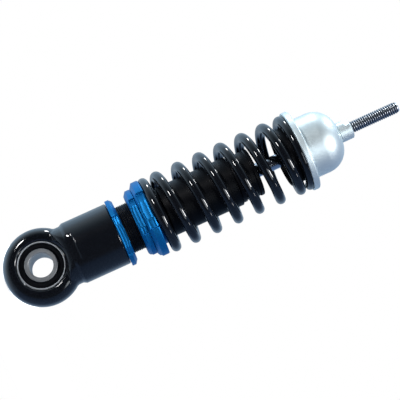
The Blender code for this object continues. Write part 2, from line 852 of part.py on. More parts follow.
def neck_nut():
    """Clamps the cup against the rod's shoulder. Its top face meets the vehicle."""
    bottom = CUP_TOP_Z + GAP
    edge = 1.0 * MM
    profile = [
        (NECK_RADIUS - edge, NECK_TOP_Z),
        (NECK_RADIUS, NECK_TOP_Z - edge),
        (NECK_RADIUS, bottom),
        (STUD_RADIUS + GAP, bottom),
        (STUD_RADIUS + GAP, NECK_TOP_Z),
    ]
    obj = turned("neck_nut", profile, "satin_aluminium")
    for side in (1, -1):
        boolean(obj, "DIFFERENCE", spanner_flat_cutter(side))
    return obj


def shoulder_washer():
    """Spreads the cup's load over the rod's shoulder."""
    radius = 11.5 * MM
    bottom = STUD_BOTTOM_Z + GAP
    ring("shoulder_washer", STUD_RADIUS + GAP, radius, bottom, CUP_INNER_TOP_Z - GAP, "bright_zinc")


def bump_stop():
    """A waisted foam stop on the rod, inside the dome."""
    bore = ROD_RADIUS + 0.5 * MM
    top = STUD_BOTTOM_Z - 0.1 * MM
    bottom = 226.5 * MM
    lobes = 3
    lobe_radius = 14.5 * MM
    waist_radius = 12.0 * MM
    pitch = (top - bottom) / lobes
    profile = [(waist_radius, top)]
    for i in range(lobes):
        start = top - i * pitch
        profile.append((lobe_radius, start - 0.3 * pitch))
        profile.append((lobe_radius, start - 0.7 * pitch))
        profile.append((waist_radius, start - pitch))
    profile += [(bore, bottom), (bore, top)]
    return turned("bump_stop", profile, "cream_foam", INNER_STEPS)


def main():
    clear_scene()
    lower_eye_body()
    bush_outer_sleeve()
    bush_rubber()
    bush_inner_sleeve()
    jam_ring()
    lock_ring()
    adjuster_ring()
    spring()
    damper_tube()
    end_cap()
    seal_head()
    rod_guide_bush()
    rod_seal()
    rod_wiper()
    base_plug()
    gas_valve()
    floating_piston()
    piston_rod()
    damper_piston()
    valve_stack()
    top_out_bumper()
    upper_spring_cup()
    neck_nut()
    shoulder_washer()
    bump_stop()


main()
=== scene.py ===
"""The looks of a coil-over strut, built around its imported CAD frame.

Metres, +Z from the eye to the stud, +Y along the eye's bore. Sizes that the CAD holds are read from its
nodes, and the finer ones are named here.
"""

import itertools
import json
import math

import bmesh
import bpy
import numpy as np
from mathutils import Matrix, Vector

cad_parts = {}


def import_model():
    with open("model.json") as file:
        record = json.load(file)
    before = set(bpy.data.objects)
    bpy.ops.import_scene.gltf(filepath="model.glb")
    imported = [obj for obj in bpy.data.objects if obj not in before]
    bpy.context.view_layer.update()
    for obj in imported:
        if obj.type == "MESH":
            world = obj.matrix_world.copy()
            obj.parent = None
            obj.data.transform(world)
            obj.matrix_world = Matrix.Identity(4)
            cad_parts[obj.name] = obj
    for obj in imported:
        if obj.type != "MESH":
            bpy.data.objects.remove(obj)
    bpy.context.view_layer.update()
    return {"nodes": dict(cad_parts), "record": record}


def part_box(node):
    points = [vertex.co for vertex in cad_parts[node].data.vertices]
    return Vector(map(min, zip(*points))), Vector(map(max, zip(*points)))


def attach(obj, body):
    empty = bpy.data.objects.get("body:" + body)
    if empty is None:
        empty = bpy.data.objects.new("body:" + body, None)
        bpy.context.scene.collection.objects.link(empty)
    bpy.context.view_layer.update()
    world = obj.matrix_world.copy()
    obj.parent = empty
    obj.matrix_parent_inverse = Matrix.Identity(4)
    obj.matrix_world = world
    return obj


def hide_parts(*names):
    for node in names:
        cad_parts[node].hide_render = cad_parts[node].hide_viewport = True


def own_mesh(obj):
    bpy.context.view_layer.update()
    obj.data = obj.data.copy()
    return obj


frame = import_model()

MM = 0.001
TURN = 2 * math.pi
THREAD_PITCH = 1.5 * MM
THREAD_DEPTH = 0.6 * MM
STUD_R = 5.0 * MM
STUD_ROOT_R = 4.3 * MM
STUD_PITCH = 1.9 * MM
STUD_STEPS = 64
SMOOTH_STEPS = 144
FINE_STEPS = 96


# Measures read from the CAD frame


def low_z(node):
    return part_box(node)[0].z


def high_z(node):
    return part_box(node)[1].z


def half_width(node, axis=1):
    """Half of a node's size along an axis: the radius of a piece turned about Z."""
    low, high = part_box(node)
    return (high[axis] - low[axis]) / 2


def points_of(node):
    return [vertex.co for vertex in frame["nodes"][node].data.vertices]


def bore_radius(node, axis=2):
    """Smallest distance of a turned node's points from its axis."""
    one, two = [i for i in range(3) if i != axis]
    return min(math.hypot(point[one], point[two]) for point in points_of(node))


def outer_radius(node):
    """Largest distance of a node's points from the strut's axis."""
    return max(math.hypot(point.x, point.y) for point in points_of(node))


def radius_near(node, z, reach=0.1 * MM):
    """Largest radius of a turned node's points close to a height."""
    return max(math.hypot(point.x, point.y) for point in points_of(node) if abs(point.z - z) < reach)


def levels(node):
    """The heights at which a turned node has points, low to high."""
    heights = sorted(point.z for point in points_of(node))
    found = [heights[0]]
    for z in heights:
        if z - found[-1] > 0.05 * MM:
            found.append(z)
    return found


STUD_TIP = 1.3 * MM
STUD_THREAD_TOP = high_z("piston_rod") - STUD_TIP


# Mesh helpers


def new_object(name, data):
    obj = bpy.data.objects.new(name, data)
    bpy.context.scene.collection.objects.link(obj)
    return obj


def smooth_mesh(name, points, faces):
    """A smooth-shaded mesh, its doubled points and empty faces cleaned away."""
    mesh = bpy.data.meshes.new(name)
    mesh.from_pydata([tuple(map(float, point)) for point in points], [], faces)
    shape = bmesh.new()
    shape.from_mesh(mesh)
    bmesh.ops.remove_doubles(shape, verts=shape.verts, dist=0.000002)
    bmesh.ops.dissolve_degenerate(shape, edges=shape.edges, dist=0.000001)
    bmesh.ops.recalc_face_normals(shape, faces=shape.faces)
    shape.to_mesh(mesh)
    shape.free()
    mesh.shade_smooth()
    return mesh


def weighted(obj):
    """Lets the large faces set the shading, so that small rounded edges read as edges."""
    modifier = obj.modifiers.new("weighted", "WEIGHTED_NORMAL")
    modifier.weight = 100
    modifier.keep_sharp = True
    return obj


def rounded(corners, count=4):
    """A closed or open profile of (radius, z, fillet) with each filleted corner made an arc."""
    result = []
    total = len(corners)
    for i, (x, z, fillet) in enumerate(corners):
        here = Vector((x, z))
        if fillet <= 0:
            result.append((x, z))
            continue
        before = Vector(corners[i - 1][:2]) - here
        after = Vector(corners[(i + 1) % total][:2]) - here
        half = before.angle(after) / 2
        back = min(fillet / math.tan(half), 0.48 * before.length, 0.48 * after.length)
        start = here + before.normalized() * back
        end = here + after.normalized() * back
        for k in range(count + 1):
            t = k / count
            # A rational quadratic through the corner is a true circular arc.
            w = math.sin(half)
            top = start * (1 - t) ** 2 + here * (2 * w * t * (1 - t)) + end * t**2
            result.append(tuple(top / ((1 - t) ** 2 + 2 * w * t * (1 - t) + t**2)))
    return result


def arc(centre, radii, start, end, count):
    """Points on an ellipse's arc as (x, z), the angles in degrees."""
    points = []
    for i in range(count + 1):
        angle = math.radians(start + (end - start) * i / count)
        points.append((centre[0] + radii[0] * math.cos(angle), centre[1] + radii[1] * math.sin(angle)))
    return points


def meshed(name, points, faces):
    return weighted(new_object(name, smooth_mesh(name, points, faces)))


def column_at(profile, angle):
    """A profile's (radius, z) pairs as points in space, at an angle about Z."""
    return [(radius * math.cos(angle), radius * math.sin(angle), z) for radius, z in profile]


def faces_between(columns, rows, loop, wrap=True, base=0):
    """Faces between neighbouring columns of points. A column is a loop or a chain; wrap joins the last
    column to the first one."""
    faces = []
    for i in range(columns if wrap else columns - 1):
        a = base + i * rows
        b = base + (i + 1) % columns * rows
        for j in range(rows if loop else rows - 1):
            k = (j + 1) % rows
            faces.append((a + j, b + j, b + k, a + k))
    return faces


def turned(name, profile, steps=SMOOTH_STEPS, along_y=False):
    """A turned piece from (radius, z) pairs: a loop, or an open profile that touches the axis."""
    loop = min(radius for radius, _ in profile) > 1e-7
    points = []
    for i in range(steps):
        points += column_at(profile, TURN * i / steps)
    if along_y:
        points = [(x, -z, y) for x, y, z in points]
    return meshed(name, points, faces_between(steps, len(profile), loop))


def ring_of(name, angles, columns):
    """A closed ring from its cross-sections, one at each angle."""
    points = []
    for angle, column in zip(angles, columns):
        points += column_at(column, angle)
    return meshed(name, points, faces_between(len(columns), len(columns[0]), True))


def finish_piece(obj, body, material, slot, *nodes):
    """Gives a piece its material and its place in the frame."""
    obj.data.materials.clear()
    obj.data.materials.append(material)
    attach(obj, body)
    if nodes:
        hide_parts(*nodes)


# Materials


def node_material(name, colour, roughness, metallic):
    """A Principled material, its node tree and its shader."""
    made = bpy.data.materials.new(name)
    made.use_nodes = True
    shader = made.node_tree.nodes["Principled BSDF"]
    shader.inputs["Base Color"].default_value = (*colour, 1)
    shader.inputs["Roughness"].default_value = roughness
    shader.inputs["Metallic"].default_value = metallic
    return made, made.node_tree, shader


def object_coordinates(tree, scale):
    """Coordinates fixed to the piece, stretched by a scale for each axis."""
    coordinates = tree.nodes.new("ShaderNodeTexCoord")
    mapping = tree.nodes.new("ShaderNodeMapping")
    mapping.inputs["Scale"].default_value = scale
    tree.links.new(coordinates.outputs["Object"], mapping.inputs["Vector"])
    return mapping.outputs["Vector"]


def vector_math(tree, operation, vector, other=(0, 0, 0)):
    node = tree.nodes.new("ShaderNodeVectorMath")
    node.operation = operation
    node.inputs[1].default_value = other
    tree.links.new(vector, node.inputs[0])
    return node.outputs["Value"]


def scalar_math(tree, operation, value, other=0.0):
    node = tree.nodes.new("ShaderNodeMath")
    node.operation = operation
    node.inputs[1].default_value = other
    tree.links.new(value, node.inputs[0])
    return node.outputs["Value"]


def noise(tree, vector, scale, detail=3.0, rough=0.5):
    texture = tree.nodes.new("ShaderNodeTexNoise")
    texture.inputs["Scale"].default_value = scale
    texture.inputs["Detail"].default_value = detail
    texture.inputs["Roughness"].default_value = rough
    tree.links.new(vector, texture.inputs["Vector"])
    return texture.outputs["Fac"]


def ranged(tree, value, low, high, from_low=0.3, from_high=0.7):
    """The value spread over a new range."""
    node = tree.nodes.new("ShaderNodeMapRange")
    node.inputs["From Min"].default_value = from_low
    node.inputs["From Max"].default_value = from_high
    node.inputs["To Min"].default_value = low
    node.inputs["To Max"].default_value = high
    tree.links.new(value, node.inputs["Value"])
    return node.outputs["Result"]


def colour_mix(tree, factor, first, second):
    """Two colours mixed by a factor. Each is a plain colour or another node's output."""
    node = tree.nodes.new("ShaderNodeMix")
    node.data_type = "RGBA"
    for name, colour in (("A", first), ("B", second)):
        if isinstance(colour, tuple):
            node.inputs[name].default_value = (*colour, 1)
        else:
            tree.links.new(colour, node.inputs[name])
    tree.links.new(factor, node.inputs["Factor"])
    return node.outputs["Result"]


def vary(tree, shader, pattern, roughness, first, second):
    """Lets a pattern move the roughness over a range and the colour between two tones."""
    tree.links.new(ranged(tree, pattern, *roughness), shader.inputs["Roughness"])
    tree.links.new(colour_mix(tree, pattern, first, second), shader.inputs["Base Color"])


def bump(tree, shader, height, distance, strength=1.0):
    node = tree.nodes.new("ShaderNodeBump")
    node.inputs["Distance"].default_value = distance
    node.inputs["Strength"].default_value = strength
    tree.links.new(height, node.inputs["Height"])
    tree.links.new(node.outputs["Normal"], shader.inputs["Normal"])


def gloss_black_paint():
    """Baked gloss enamel: a faint orange peel, and a gloss that varies a little."""
    made, tree, shader = node_material("gloss_black_paint", (0.003, 0.0035, 0.005), 0.12, 0.0)
    shader.inputs["Coat Weight"].default_value = 0.4
    shader.inputs["Coat Roughness"].default_value = 0.05
    shader.inputs["IOR"].default_value = 1.45
    vector = object_coordinates(tree, (1, 1, 1))
    cloud = noise(tree, vector, 60.0)
    vary(tree, shader, cloud, (0.08, 0.12), (0.0025, 0.003, 0.0042), (0.0035, 0.0042, 0.006))
    bump(tree, shader, noise(tree, vector, 700.0, 2.0), 0.00001, 0.04)
    return made


def black_anodised():
    made, tree, shader = node_material("black_anodised_tube", (0.003, 0.003, 0.005), 0.34, 0.0)
    shader.inputs["IOR"].default_value = 1.24
    vector = object_coordinates(tree, (1, 1, 14))
    grain = noise(tree, vector, 90.0, 4.0)
    vary(tree, shader, grain, (0.32, 0.46), (0.002, 0.0022, 0.0035), (0.004, 0.0045, 0.0065))
    bump(tree, shader, grain, 0.00001, 0.2)
    return made


def blue_anodised():
    """Bright blue anodising over fine turning marks."""
    made, tree, shader = node_material("blue_anodised_ring", (0.002, 0.15, 0.42), 0.38, 0.8)
    vector = object_coordinates(tree, (1, 1, 30))
    grain = noise(tree, vector, 60.0, 4.0, 0.6)
    vary(tree, shader, grain, (0.34, 0.44), (0.0015, 0.14, 0.38), (0.003, 0.17, 0.46))
    bump(tree, shader, grain, 0.00002, 0.25)
    return made


def satin_silver():
    """Bead-finished, clear-anodised aluminium."""
    made, tree, shader = node_material("satin_silver", (0.68, 0.76, 0.78), 0.48, 0.8)
    vector = object_coordinates(tree, (1, 1, 1))
    cloud = noise(tree, vector, 35.0, 4.0)
    vary(tree, shader, cloud, (0.45, 0.52), (0.65, 0.73, 0.75), (0.71, 0.79, 0.8))
    bump(tree, shader, noise(tree, vector, 1500.0, 2.0), 0.00001, 0.25)
    return made


def turned_steel():
    """A sleeve's cut faces, with fine rings of tool marks about its own axis, Y."""
    made, tree, shader = node_material("turned_steel", (0.2, 0.2, 0.21), 0.4, 0.6)
    from_axis = vector_math(tree, "LENGTH", object_coordinates(tree, (1, 0, 1)))
    waves = tree.nodes.new("ShaderNodeTexNoise")
    waves.noise_dimensions = "1D"
    waves.inputs["Scale"].default_value = 2600.0
    waves.inputs["Detail"].default_value = 2.0
    tree.links.new(from_axis, waves.inputs["W"])
    marks = waves.outputs["Fac"]
    vary(tree, shader, marks, (0.28, 0.44), (0.12, 0.122, 0.125), (0.42, 0.425, 0.43))
    bump(tree, shader, marks, 0.00002, 0.35)
    return made


def bright_zinc():
    made, tree, shader = node_material("bright_zinc", (0.6, 0.62, 0.64), 0.36, 0.6)
    vector = object_coordinates(tree, (1, 1, 1))
    cloud = noise(tree, vector, 120.0, 3.0)
    vary(tree, shader, cloud, (0.34, 0.46), (0.54, 0.56, 0.58), (0.66, 0.68, 0.7))
    return made


def hard_chrome():
    """Ground and polished chrome: faint marks round the rod."""
    made, tree, shader = node_material("hard_chrome", (0.6, 0.62, 0.66), 0.08, 1.0)
    vector = object_coordinates(tree, (1, 1, 60))
    grain = noise(tree, vector, 60.0, 2.0)
    vary(tree, shader, grain, (0.05, 0.12), (0.56, 0.58, 0.62), (0.64, 0.66, 0.7))
    return made


def dark_steel():
    """Rolled thread in blackened steel, with painted shade in the roots and a painted highlight on the
    crests; brighter on the cut end.
    """
    made, tree, shader = node_material("dark_steel", (0.3, 0.31, 0.33), 0.3, 1.0)
    vector = object_coordinates(tree, (1, 1, 1))
    cloud = noise(tree, vector, 300.0, 3.0)
    tree.links.new(ranged(tree, cloud, 0.22, 0.36), shader.inputs["Roughness"])
    from_axis = vector_math(tree, "LENGTH", object_coordinates(tree, (1, 1, 0)))
    from_root = scalar_math(tree, "ABSOLUTE", scalar_math(tree, "SUBTRACT", from_axis, STUD_ROOT_R))
    # Painted shade and highlight: the colour runs from dark at the thread's root to bright at its crests.
    crest_sheen_root_shade = ranged(tree, from_root, 0, 1, 0, STUD_R - STUD_ROOT_R)
    thread = colour_mix(tree, crest_sheen_root_shade, (0.02, 0.02, 0.025), (0.42, 0.44, 0.47))
    height = vector_math(tree, "DOT_PRODUCT", vector, (0, 0, 1))
    cut_end = ranged(tree, height, 0, 1, STUD_THREAD_TOP - 0.3 * MM, STUD_THREAD_TOP)
    tint = colour_mix(tree, cut_end, thread, (0.75, 0.77, 0.8))
    tree.links.new(tint, shader.inputs["Base Color"])
    return made


def moulded_rubber():
    made, tree, shader = node_material("moulded_rubber", (0.004, 0.0045, 0.006), 0.6, 0.0)
    shader.inputs["IOR"].default_value = 1.15
    vector = object_coordinates(tree, (1, 1, 1))
    cloud = noise(tree, vector, 260.0, 4.0)
    vary(tree, shader, cloud, (0.5, 0.72), (0.003, 0.0035, 0.005), (0.006, 0.0065, 0.008))
    bump(tree, shader, noise(tree, vector, 1600.0, 2.0), 0.00003, 0.4)
    return made


def foam():
    """Microcellular foam with a fine open grain."""
    made, tree, shader = node_material("microcellular_foam", (0.6, 0.53, 0.34), 0.85, 0.0)
    vector = object_coordinates(tree, (1, 1, 1))
    cells = noise(tree, vector, 900.0, 3.0)
    tint = colour_mix(tree, cells, (0.50, 0.43, 0.26), (0.68, 0.60, 0.40))
    tree.links.new(tint, shader.inputs["Base Color"])
    bump(tree, shader, cells, 0.0001, 0.5)
    return made


def inner_metal(name, first, second, roughness):
    """A machined inner piece: two close tones in turning marks."""
    made, tree, shader = node_material(name, first, roughness, 1.0)
    vector = object_coordinates(tree, (1, 1, 25))
    grain = noise(tree, vector, 80.0, 3.0)
    vary(tree, shader, grain, (roughness - 0.06, roughness + 0.06), first, second)
    return made


def filled_ptfe():
    made, tree, shader = node_material("filled_ptfe", (0.09, 0.075, 0.065), 0.5, 0.0)
    vector = object_coordinates(tree, (1, 1, 1))
    cloud = noise(tree, vector, 400.0, 3.0)
    tint = colour_mix(tree, cloud, (0.07, 0.06, 0.05), (0.11, 0.09, 0.08))
    tree.links.new(tint, shader.inputs["Base Color"])
    return made


MATERIALS = {
    "gloss_black": gloss_black_paint(),
    "black_anodised": black_anodised(),
    "blue_anodised": blue_anodised(),
    "satin_aluminium": satin_silver(),
    "machined_steel": turned_steel(),
    "bright_zinc": bright_zinc(),
    "hard_chrome": hard_chrome(),
    "dark_steel": dark_steel(),
    "black_rubber": moulded_rubber(),
    "cream_foam": foam(),
    "bronze": inner_metal("sintered_bronze", (0.42, 0.26, 0.12), (0.5, 0.33, 0.17), 0.42),
    "brass": inner_metal("turned_brass", (0.6, 0.42, 0.14), (0.68, 0.5, 0.2), 0.32),
    "ptfe": filled_ptfe(),
}


# The eye casting, as the zero surface of one smooth field


# The crowned eye swells from EYE_CROWN_R out to EYE_R, and is EYE_HALF wide to each side. Its bore widens
# from LEAD_Y outwards, to LEAD_R. The body widens from WAIST_R at BODY_LOW_Z to BODY_R at BODY_FULL_Z. Its
# flanks spread from NECK_HALF at NECK_Z to FLAT_HALF at FLAT_TOP_Z.
EYE_R = half_width("lower_eye_body", 0)
EYE_CROWN_R = 24.0 * MM
BODY_R = half_width("lower_eye_body")
WAIST_R = 25.1 * MM
BODY_LOW_Z = 25.3 * MM
BODY_FULL_Z = 28.1 * MM
BODY_TOP_Z = high_z("lower_eye_body")
FLAT_HALF = 24.1 * MM
FLAT_TOP_Z = 32.2 * MM
NECK_HALF = 12.6 * MM
NECK_Z = 17.0 * MM
EYE_HALF = 13.5 * MM
EYE_BORE_R = 20.3 * MM
LEAD_R = 21.6 * MM
LEAD_Y = 12.3 * MM
TUBE_BORE_R = 20.95 * MM
TUBE_BORE_Z = 26.5 * MM
BARREL_LOW_Z = 8.0 * MM
SOFT_EDGE = 1.0 * MM
FILLET = 0.9 * MM
CRISP_EDGE = 0.3 * MM


def soft_max(a, b, radius):
    """The larger of two fields, with a rounded edge where they cross."""
    u = np.maximum(radius + a, 0)
    v = np.maximum(radius + b, 0)
    return np.minimum(-radius, np.maximum(a, b)) + np.hypot(u, v)


def soft_min(a, b, radius):
    """The smaller of two fields, with a fillet where they cross."""
    return -soft_max(-a, -b, radius)


def ellipse_field(a, b, a_radius, b_radius):
    """About the distance to an ellipse's edge, below zero inside it."""
    reach = np.hypot(a / a_radius, b / b_radius)
    steepness = np.hypot(a / a_radius**2, b / b_radius**2)
    return (reach - 1) * reach / np.maximum(steepness, 1e-6)


def casting_field(x, y, z):
    """Below zero inside the casting."""
    ring_r = np.hypot(x, z)
    across = np.abs(y)
    outwards = np.maximum(ring_r - EYE_CROWN_R, 0)
    eye = ellipse_field(outwards, across, EYE_R - EYE_CROWN_R, EYE_HALF)

    rise = np.clip((z - BODY_LOW_Z) / (BODY_FULL_Z - BODY_LOW_Z), 0, 1)
    outer = WAIST_R + (BODY_R - WAIST_R) * rise
    # The cone's and the lead-in's fields are scaled down, since they change faster where they slope.
    barrel = soft_max((np.hypot(x, y) - outer) * 0.9, z - BODY_TOP_Z, SOFT_EDGE)
    barrel = soft_max(barrel, BARREL_LOW_Z - z, SOFT_EDGE)

    below = FLAT_TOP_Z - z
    beside = np.maximum(across - NECK_HALF, 0)
    shoulder = ellipse_field(
        beside, np.maximum(below, 0), FLAT_HALF - NECK_HALF, FLAT_TOP_Z - NECK_Z
    )
    flanks = soft_min(soft_min(shoulder, across - NECK_HALF, SOFT_EDGE), below, CRISP_EDGE)
    barrel = soft_max(barrel, flanks, FILLET)

    solid = soft_min(eye, barrel, FILLET)
    lead = EYE_BORE_R + np.clip((across - LEAD_Y) / (EYE_HALF - LEAD_Y), 0, 2) * (LEAD_R - EYE_BORE_R)
    solid = soft_max(solid, (lead - ring_r) * 0.75, 0.35 * MM)
    tube_bore = soft_max(np.hypot(x, y) - TUBE_BORE_R, TUBE_BORE_Z - z, 0.5 * MM)
    return soft_max(solid, -tube_bore, 0.7 * MM)


def field_gradient(field, x, y, z):
    step = 0.02 * MM
    gx = field(x + step, y, z) - field(x - step, y, z)
    gy = field(x, y + step, z) - field(x, y - step, z)
    gz = field(x, y, z + step) - field(x, y, z - step)
    return np.stack([gx, gy, gz], axis=-1) / (2 * step)


def cell_points(values):
    """One point in each cell that the surface crosses: the mean of its edges' crossings, in cells.

    Also the number of each crossed cell's point, with -1 in the others.
    """
    shape = [n - 1 for n in values.shape]
    total = np.zeros((*shape, 3))
    count = np.zeros(shape)

    def window(corner):
        i, j, k = corner
        return values[i : i + shape[0], j : j + shape[1], k : k + shape[2]]

    for a in itertools.product((0, 1), repeat=3):
        for axis in range(3):
            if a[axis]:
                continue
            b = tuple(c + (n == axis) for n, c in enumerate(a))
            va, vb = window(a), window(b)
            crosses = (va < 0) != (vb < 0)
            share = np.where(crosses, va / np.where(crosses, va - vb, 1), 0)
            for n in range(3):
                total[..., n] += np.where(crosses, a[n] + (share if n == axis else 0), 0)
            count += crosses
    used = count > 0
    index = np.full(shape, -1)
    index[used] = np.arange(used.sum())
    return np.argwhere(used) + total[used] / count[used][:, None], index


def cell_faces(inside, index):
    """A quad round every grid edge that leaves the solid, through its four cells' points."""
    faces = []
    for axis in range(3):
        one, two = [n for n in range(3) if n != axis]
        ahead = [slice(None)] * 3
        here = [slice(None)] * 3
        ahead[axis] = slice(1, None)
        here[axis] = slice(None, -1)
        crosses = inside[tuple(here)] != inside[tuple(ahead)]
        at = np.argwhere(crosses)
        outward = inside[tuple(here)][crosses]
        quads = []
        for da, db in ((1, 1), (0, 1), (0, 0), (1, 0)):
            cellwise = at.copy()
            cellwise[:, one] -= da
            cellwise[:, two] -= db
            quads.append(index[cellwise[:, 0], cellwise[:, 1], cellwise[:, 2]])
        quads = np.stack(quads, axis=1)
        flip = outward == (axis == 1)
        quads[flip] = quads[flip][:, ::-1]
        faces.append(quads)
    return np.concatenate(faces)


def surface_of(name, field, low, high, cell):
    """The zero surface of a field, as one mesh drawn onto it and shaded by the field's slope."""
    axes = [np.arange(a - 2 * cell, b + 2.5 * cell, cell) for a, b in zip(low, high)]
    values = field(*np.meshgrid(*axes, indexing="ij"))
    places, index = cell_points(values)
    points = np.array([axis[0] for axis in axes]) + cell * places
    for _ in range(6):
        value = field(*points.T)
        slope = field_gradient(field, *points.T)
        steep = np.maximum((slope**2).sum(axis=1), 0.05)
        points -= np.clip(value / steep, -cell, cell)[:, None] * slope
    mesh = bpy.data.meshes.new(name)
    mesh.from_pydata(points.tolist(), [], cell_faces(values < 0, index).tolist())
    mesh.update()
    mesh.shade_smooth()
    slope = field_gradient(field, *points.T)
    slope /= np.linalg.norm(slope, axis=1)[:, None]
    mesh.normals_split_custom_set_from_vertices(slope.tolist())
    return new_object(name, mesh)


def eye_casting():
    cell = 0.58 * MM
    low = (-EYE_R, -BODY_R, -EYE_R)
    high = (EYE_R, BODY_R, BODY_TOP_Z)
    obj = surface_of("eye_casting", casting_field, low, high, cell)
    finish_piece(obj, "eye_body", MATERIALS["gloss_black"], "gloss_black", "lower_eye_body")


# The silentblock


SHELL_BORE = bore_radius("bush_outer_sleeve", 1)
CORE_R = half_width("bush_inner_sleeve", 0)


def both_ends(half):
    """A section that is the same at both ends, from the corners of its upper half, outside first."""
    mirrored = [(radius, -z, fillet) for radius, z, fillet in half]
    return rounded(half[::-1] + mirrored)


def bush_shell():
    """The pressed-in outer sleeve: a thin bright rim between two bevels."""
    node = "bush_outer_sleeve"
    outer = half_width(node, 0)
    end = half_width(node)
    edge = 0.12 * MM
    face_outer = outer - 0.45 * MM
    face_inner = face_outer - 0.5 * MM
    bevel = 0.9 * MM
    section = both_ends(
        [
            (outer, end - 2 * bevel, edge),
            (face_outer, end, edge),
            (face_inner, end, edge),
            (SHELL_BORE, end - bevel, edge),
        ]
    )
    obj = turned("bush_shell", section, along_y=True)
    finish_piece(obj, "eye_body", MATERIALS["bright_zinc"], "bright_zinc", node)


def bush_rubber():
    """The rubber between the sleeves, with a moulded groove in each face."""
    gap = 0.15 * MM
    inner = CORE_R + gap
    outer = SHELL_BORE - gap
    middle = (inner + outer) / 2
    groove_half = (outer - inner) / 4
    rim = half_width("bush_rubber")
    dip = rim - 1.7 * MM
    section = both_ends(
        [
            (outer, rim - 0.2 * MM, 0.3 * MM),
            (outer - 0.8 * MM, rim, 0.3 * MM),
            (middle + groove_half, dip + 0.3 * MM, 0.9 * MM),
            (middle - groove_half, dip, 0.9 * MM),
            (inner + 0.7 * MM, rim, 0.3 * MM),
            (inner, rim - 0.1 * MM, 0.2 * MM),
        ]
    )
    obj = turned("bush_rubber_ring", section, along_y=True)
    finish_piece(obj, "eye_body", MATERIALS["black_rubber"], "black_rubber", "bush_rubber")


def bush_core():
    """The machined inner sleeve, with a lead into its bore at both ends."""
    node = "bush_inner_sleeve"
    end = half_width(node)
    bore = bore_radius(node, 1)
    lead = 0.9 * MM
    section = both_ends(
        [
            (CORE_R, end, 0.5 * MM),
            (bore + lead, end, 0.15 * MM),
            (bore, end - lead, 0.15 * MM),
        ]
    )
    obj = turned("bush_core", section, along_y=True)
    finish_piece(obj, "bush_core", MATERIALS["machined_steel"], "machined_steel", node)


# The notched rings


def notch_shape(radius, depth, flat_depth, half_angle, middle_angle, notches=3):
    """(angle, radius) all round a ring, in degrees: wide notches, flat in the middle, with crisp walls.

    A wall is (angle from the notch's end, radius), with its two edges eased.
    """
    floor = radius - depth
    flat = floor - flat_depth
    flat_half = math.degrees(math.acos(flat / floor))
    wall = [
        (-0.9, radius),
        (-0.45, radius - 0.03 * MM),
        (-0.15, radius - 0.13 * MM),
        (0.0, radius - 0.36 * MM),
        (0.06, floor + 0.3 * MM),
        (0.3, floor + 0.08 * MM),
        (0.8, floor),
    ]
    edge = 0.35
    inside_wall = half_angle - 1.5
    outside_wall = 2.5
    shape = []
    for i in range(notches):
        middle = middle_angle + 360 * i / notches
        for offset, r in wall:
            shape.append((middle - half_angle + offset, r))
        for t in np.linspace(-inside_wall, -flat_half - edge, 5):
            shape.append((middle + t, floor))
        for t in np.linspace(-flat_half + edge, flat_half - edge, 15):
            shape.append((middle + t, flat / math.cos(math.radians(t))))
        for t in np.linspace(flat_half + edge, inside_wall, 5):
            shape.append((middle + t, floor))
        for offset, r in reversed(wall):
            shape.append((middle + half_angle - offset, r))
        rest = 360 / notches - 2 * half_angle
        for t in np.linspace(outside_wall, rest - outside_wall, 14):
            shape.append((middle + half_angle + t, radius))
    return shape


def groove(outer, full_radius, z):
    """A fine V cut round a ring at a height, which shows only where the ring is notched."""
    notched = outer < full_radius - 1.2 * MM
    depth = 0.4 * MM if notched else 0.01 * MM
    half = 0.35 * MM
    return [(outer, z + half, 0), (outer - depth, z, 0), (outer, z - half, 0)]


def chamfered_section(node, chamfer_radius, chamfer_height, chamfer_up):
    """A ring's section with one wide chamfer, on its upper or its lower side."""
    bottom, top = low_z(node), high_z(node)
    full_radius = outer_radius(node)
    bore = ring_bore()
    edge = 0.3 * MM
    lead = 0.5 * MM

    def section(outer):
        share = min(max((outer - chamfer_radius) / (full_radius - chamfer_radius), 0.02), 1)
        drop = chamfer_height * share
        upper = top - drop if chamfer_up else top
        lower = bottom if chamfer_up else bottom + drop
        outside = [(outer, upper, edge)]
        for height in (0.7, 0.3):
            outside += groove(outer, full_radius, lower + (upper - lower) * height)
        outside.append((outer, lower, edge))
        if chamfer_up:
            outside.insert(0, (chamfer_radius, top, edge))
        else:
            outside.append((chamfer_radius, bottom, edge))
        inside = [(bore + lead, bottom, 0), (bore, bottom + lead, 0)]
        inside += [(bore, top - lead, 0), (bore + lead, top, 0)]
        return rounded(outside + inside, 3)

    return section


def ring_bore():
    """The rings' bore, a little wider than the CAD's."""
    return bore_radius("jam_ring") + 0.05 * MM


def build_ring(node, body, shape, section):
    """Builds a ring whose cross-section depends on the outer radius at each angle."""
    angles = [math.radians(degrees) for degrees, _ in shape]
    obj = ring_of(node + "_fine", angles, [section(radius) for _, radius in shape])
    finish_piece(obj, body, MATERIALS["blue_anodised"], "blue_anodised", node)


def jam_ring():
    node = "jam_ring"
    radius = outer_radius(node)
    shape = notch_shape(radius, 2.0 * MM, 1.8 * MM, half_angle=37.0, middle_angle=-72.4)
    section = chamfered_section(node, 25.8 * MM, 2.4 * MM, chamfer_up=True)
    build_ring(node, "jam", shape, section)


def lock_ring():
    node = "lock_ring"
    radius = outer_radius(node)
    shape = notch_shape(radius, 2.0 * MM, 1.8 * MM, half_angle=34.0, middle_angle=-93.0)
    section = chamfered_section(node, 25.6 * MM, 2.6 * MM, chamfer_up=False)
    build_ring(node, "lock", shape, section)


